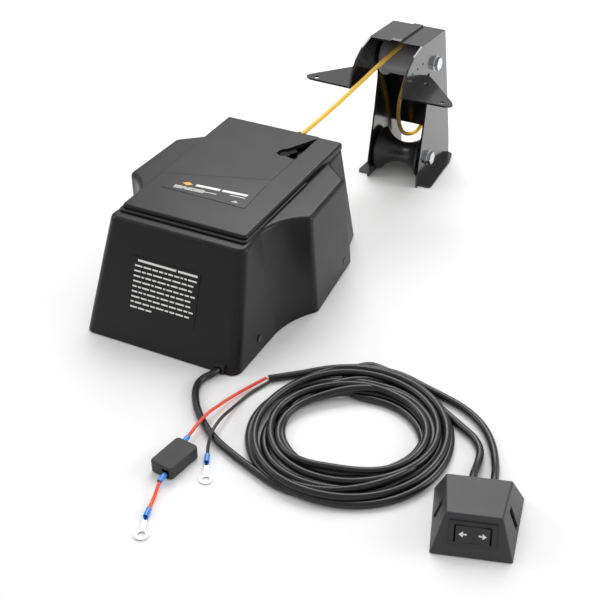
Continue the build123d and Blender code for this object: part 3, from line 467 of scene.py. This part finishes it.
# finish: colour, roughness, other settings
LOOKS = {
    "cover_plastic": ((0.0045, 0.0045, 0.0052), 0.36, dict(grain=1500.0, height=0.22, specular=0.33)),
    "panel_plastic": ((0.005, 0.005, 0.006), 0.38, dict(grain=1500.0, height=0.2, specular=0.34)),
    "lever_plastic": ((0.0015, 0.0015, 0.0018), 0.55, dict(grain=900.0, height=0.1, specular=0.12)),
    "decal_film": ((0.0035, 0.0035, 0.004), 0.33, dict(grain=700.0, height=0.05, specular=0.34)),
    "davit_paint": ((0.010, 0.010, 0.011), 0.17, dict(grain=420.0, height=0.10, coat=0.5)),
    "zinc_steel": ((0.70, 0.71, 0.73), 0.24, dict(metallic=1.0, grain=700.0, height=0.12)),
    "dark_steel": ((0.10, 0.10, 0.11), 0.38, dict(metallic=1.0, grain=600.0, height=0.2)),
    "shaft_steel": ((0.55, 0.55, 0.57), 0.22, dict(metallic=1.0, grain=500.0, height=0.1)),
    "gear_steel": ((0.42, 0.42, 0.43), 0.33, dict(metallic=1.0, grain=800.0, height=0.2)),
    "bush_brass": ((0.70, 0.48, 0.20), 0.30, dict(metallic=1.0, grain=700.0, height=0.15)),
    "aluminium": ((0.60, 0.61, 0.62), 0.40, dict(metallic=1.0, grain=900.0, height=0.25)),
    "pad_rubber": ((0.020, 0.020, 0.020), 0.80, dict(grain=1800.0, height=0.5)),
    "drum_plastic": ((0.035, 0.035, 0.037), 0.50, dict(grain=1300.0, height=0.25)),
    "motor_paint": ((0.03, 0.032, 0.035), 0.35, dict(grain=700.0, height=0.2)),
    "roller_nylon": ((0.20, 0.20, 0.21), 0.48, dict(grain=1100.0, height=0.25)),
    "roller_rubber": ((0.012, 0.012, 0.013), 0.30, dict(grain=1200.0, height=0.2)),
    "switch_plastic": ((0.030, 0.030, 0.033), 0.46, dict(grain=1700.0, height=0.35)),
    "rocker_plastic": ((0.020, 0.020, 0.022), 0.34, dict(grain=1400.0, height=0.2)),
    "cable_jacket": ((0.006, 0.006, 0.0065), 0.30, dict(grain=1600.0, height=0.2)),
    "lead_red": ((0.85, 0.07, 0.02), 0.38, dict(grain=1200.0, height=0.1)),
    "lead_black": ((0.015, 0.015, 0.016), 0.38, dict(grain=1200.0, height=0.1)),
    "crimp_blue": ((0.03, 0.24, 0.75), 0.28, dict(grain=900.0, height=0.1, coat=0.3)),
    "boot_rubber": ((0.022, 0.022, 0.023), 0.52, dict(grain=1500.0, height=0.5)),
    "white_ink": ((0.82, 0.82, 0.80), 0.55, dict(grain=1800.0, height=0.05)),
    "amber_ink": ((0.95, 0.42, 0.02), 0.45, dict(grain=1800.0, height=0.05)),
}
FINISH = {name: surface(name, colour, rough, **more) for name, (colour, rough, more) in LOOKS.items()}
FINISH["rope_yarn"] = rope_yarn()

WEARS = {
    "cover_plastic": ["winch_cover"],
    "panel_plastic": ["top_panel"],
    "lever_plastic": ["lock_lever"],
    "decal_film": ["top_decal", "notice_label"],
    "davit_paint": ["davit_channel", "davit_ears"],
    "zinc_steel": ["roller_axles", "roller_nuts", "roller_washers", "frame_screws", "switch_screws",
                   "ring_terminals", "frame_ties", "breaker", "lock_pin"],
    "dark_steel": ["cover_screws", "lock_bracket"],
    "shaft_steel": ["drum_shaft", "mid_shaft", "motor_shaft", "rocker_pin", "switch_blades"],
    "gear_steel": ["drum_gear", "mid_pinion", "mid_gear", "motor_pinion", "lock_cam"],
    "bush_brass": ["shaft_bushes"],
    "aluminium": ["base_plate", "side_frame_right", "side_frame_left"],
    "pad_rubber": ["base_pads", "cable_gland", "switch_grommets"],
    "drum_plastic": ["drum", "gear_guard", "terminal_block", "rope_fairlead"],
    "motor_paint": ["motor_can", "motor_end_cap"],
    "roller_nylon": ["upper_roller"],
    "roller_rubber": ["anchor_roller"],
    "switch_plastic": ["switch_box", "switch_base"],
    "rocker_plastic": ["switch_bezel", "rocker"],
    "crimp_blue": ["crimp_sleeves"],
    "boot_rubber": ["breaker_boot"],
    "rope_yarn": ["rope_winding"],
}


def dress(piece, finish):
    """Give a piece one material."""
    piece.data.materials.clear()
    piece.data.materials.append(FINISH[finish])


for finish, names in WEARS.items():
    for name in names:
        dress(nodes[name], finish)
stood_in_for = set(nodes) - {n for names in WEARS.values() for n in names}
print("nodes stood in for by drawn pieces:", sorted(stood_in_for))

# %% [markdown]
# ## What the drawn pieces stand for
# The solids of the cords are plain tubes and a ring, kept for collision. Each drawn cord hides
# the solids that it stands for and rides on the same body.

def fit_out(piece, finish, body):
    """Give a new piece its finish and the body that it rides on."""
    dress(piece, finish)
    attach(piece, body)


for piece in (winch_lead, supply_lead):
    fit_out(piece, "cable_jacket", "kit")
for piece in (red_a, red_b):
    fit_out(piece, "lead_red", "kit")
fit_out(black, "lead_black", "kit")
fit_out(filler, "white_ink", "kit")
for piece in (rope, knot):
    fit_out(piece, "rope_yarn", "kit")
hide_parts("winch_cable", "switch_cable_inner", "cable_coil")
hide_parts("supply_cable", "switch_cable_outer", "cable_coil")
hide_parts("red_lead_cable")
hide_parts("red_lead_battery")
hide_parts("black_lead")
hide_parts("rope_run")
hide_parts("rope_knot")


# %% [markdown]
# ## Printed marks
# Words are left out: the notice is ten rows of blank bars, the badge a plain lozenge with
# bars, and the rocker has an arrow with a short stem on each half. Decals could be flat
# planes, but those flicker against the face behind them, so every mark is a closed slab a
# fraction of a millimetre thick.

# %% Marks
INK = 0.0002


def printed(name, shapes, thick, place):
    """Raised ink: each outline at z = 0 and again at z = thick, joined by a wall along each side.
    An outline that runs clockwise (its signed area is negative) is turned round first."""
    verts, faces, count = [], [], 0
    for outline in shapes:
        x, y = np.array(outline, float).T
        if (x * np.roll(y, -1) - np.roll(x, -1) * y).sum() < 0:
            x, y = x[::-1], y[::-1]
        low = np.column_stack([x, y, np.zeros(len(x))])
        verts += [low, low + (0, 0, thick)]
        here = count + np.arange(len(x))
        after = np.roll(here, -1)
        faces += [here[::-1].tolist(), (here + len(x)).tolist()]
        faces += np.column_stack([here, after, after + len(x), here + len(x)]).tolist()
        count += 2 * len(x)
    mesh = bpy.data.meshes.new(name)
    mesh.from_pydata(np.vstack(verts).tolist(), [], faces)
    mesh.transform(place)
    return linked(name, mesh)


def bar(x0, y0, x1, y1):
    """A rectangle's corners."""
    return [(x0, y0), (x1, y0), (x1, y1), (x0, y1)]


def notice_rows(width, rows, pitch, tall, seed):
    """Rows of bars of uneven length, a heading row first, like blocked-out print."""
    rng = np.random.default_rng(seed)
    heading = tall * 1.35
    shapes = [bar(-width * 0.46, 0, width * 0.16, heading), bar(width * 0.19, 0, width * 0.5, heading)]
    for row in range(1, rows):
        y, x = -row * pitch, -width / 2
        end = width / 2 if row < rows - 1 else -width * 0.15
        while x < end - 0.004:
            run = min(rng.uniform(0.003, 0.012), end - x)
            shapes.append(bar(x, y, x + run, y + tall))
            x += run + 0.0017
    return shapes


FRONT_BACK, FRONT_UP = 0.053, 0.135  # the cover's front goes this far back over this height
NOTICE_Z = 0.069  # the height on the slope that sets how far back the notice lies
lean = Matrix.Rotation(np.pi / 2 - np.arctan2(FRONT_BACK, FRONT_UP), 4, "X")
notice_y = -0.168 + FRONT_BACK * NOTICE_Z / FRONT_UP
notice_at = Matrix.Translation((-0.004, notice_y, 0.070)) @ lean @ Matrix.Translation((0, 0.0272, 0.0006))
notice_ink = printed("notice_ink", notice_rows(0.084, 10, 0.0062, 0.0019, 5), INK, notice_at)
fit_out(notice_ink, "white_ink", "kit")

badge_at = Matrix.Translation((0, 0, 0.1439)) @ Matrix.Rotation(np.radians(4), 4, "Z")
lozenge = [(-.046, -.0215), (-.039, -.0175), (-.032, -.0215), (-.039, -.0255)]
badge = printed("badge_lozenge", [lozenge], INK, badge_at)
fit_out(badge, "amber_ink", "kit")
long_bars = [bar(-.028, -.0235, .004, -.0190), bar(.007, -.0235, .040, -.0190)]
badge_bars = printed("badge_bars", long_bars, INK, badge_at)
fit_out(badge_bars, "white_ink", "kit")

SMALL_TALL = .0011
small_rows = [bar(x, y, x + w, y + SMALL_TALL) for x, y, w in (
    (-.052, -.0300, .016), (-.034, -.0300, .022), (-.052, -.0322, .024), (-.026, -.0322, .030),
    (-.052, -.0345, .012), (-.038, -.0345, .026), (.020, -.0280, .020), (.030, -.0385, .004),
    (.028, -.0405, .008))]
small_print = printed("badge_rows", small_rows, INK, badge_at)
fit_out(small_print, "white_ink", "kit")

# the switch face leans back, and each half of the rocker slopes a little toward the pivot
face_lean = np.arctan2(18, 40)
switch_face = (Matrix.Translation((*BOX_FOOT, 0)) @ Matrix.Rotation(BOX_TURN, 4, "Z")
               @ Matrix.Translation((0, .010125, .0225)) @ Matrix.Rotation(-face_lean, 4, "X"))
half_slope = np.arctan2(2.0, 16.3)
ROCKER_INK = 0.00012
for side, label in ((-1, "left"), (1, "right")):
    tip = .0135 * side
    arrow = [(tip, 0), (tip - side * .0042, .0030), (tip - side * .0042, -.0030)]
    near, far = sorted((side * .0058, side * .0090))
    stem = bar(near, -.0008, far, .0008)
    mark_at = (switch_face @ Matrix.Translation((0, -.0016, 0)) @ Matrix.Rotation(-side * half_slope, 4, "Z")
               @ Matrix.Rotation(np.pi / 2, 4, "X"))
    mark = printed(f"rocker_mark_{label}", [arrow, stem], ROCKER_INK, mark_at)
    fit_out(mark, "white_ink", "rocker")

# %% [markdown]
# ## Floor and light
# Black plastic shows its shape only by what it reflects. A small hard light would leave spots,
# so a pale floor in a bright room does most of the work, with a broad light behind and above
# for the lid, and two weaker ones, left and right, for the sides.

# %% Floor and lights
bpy.ops.mesh.primitive_plane_add(size=12, location=(0, 0, -0.0002))
floor = bpy.context.object
floor.name = "floor"
floor_paint = bpy.data.materials.new("floor_paint")
floor_paint.use_nodes = True
paint = floor_paint.node_tree.nodes["Principled BSDF"]
paint.inputs["Base Color"].default_value = (0.93, 0.93, 0.93, 1)
paint.inputs["Roughness"].default_value = 0.9
floor.data.materials.append(floor_paint)


def soft_light(name, place, target, size, power):
    """A square area light aimed at a point."""
    lamp = bpy.data.lights.new(name, "AREA")
    lamp.size, lamp.energy = size, power
    holder = linked(name, lamp)
    holder.location = place
    holder.rotation_euler = (Vector(target) - Vector(place)).to_track_quat("-Z", "Y").to_euler()


soft_light("overhead", (-0.35, 1.25, 1.7), (0.1, 0.0, 0.1), 1.3, 28)
soft_light("left", (-1.9, -0.4, 1.5), (0.0, 0.0, 0.1), 0.8, 9)
soft_light("right", (2.2, 0.9, 1.1), (0.2, 0.1, 0.1), 1.0, 18)
world = bpy.data.worlds.new("room")
world.use_nodes = True
room = world.node_tree.nodes["Background"]
room.inputs["Color"].default_value = (1, 1, 1, 1)
room.inputs["Strength"].default_value = 0.62
bpy.context.scene.world = world
bpy.context.scene.view_settings.view_transform = "Standard"
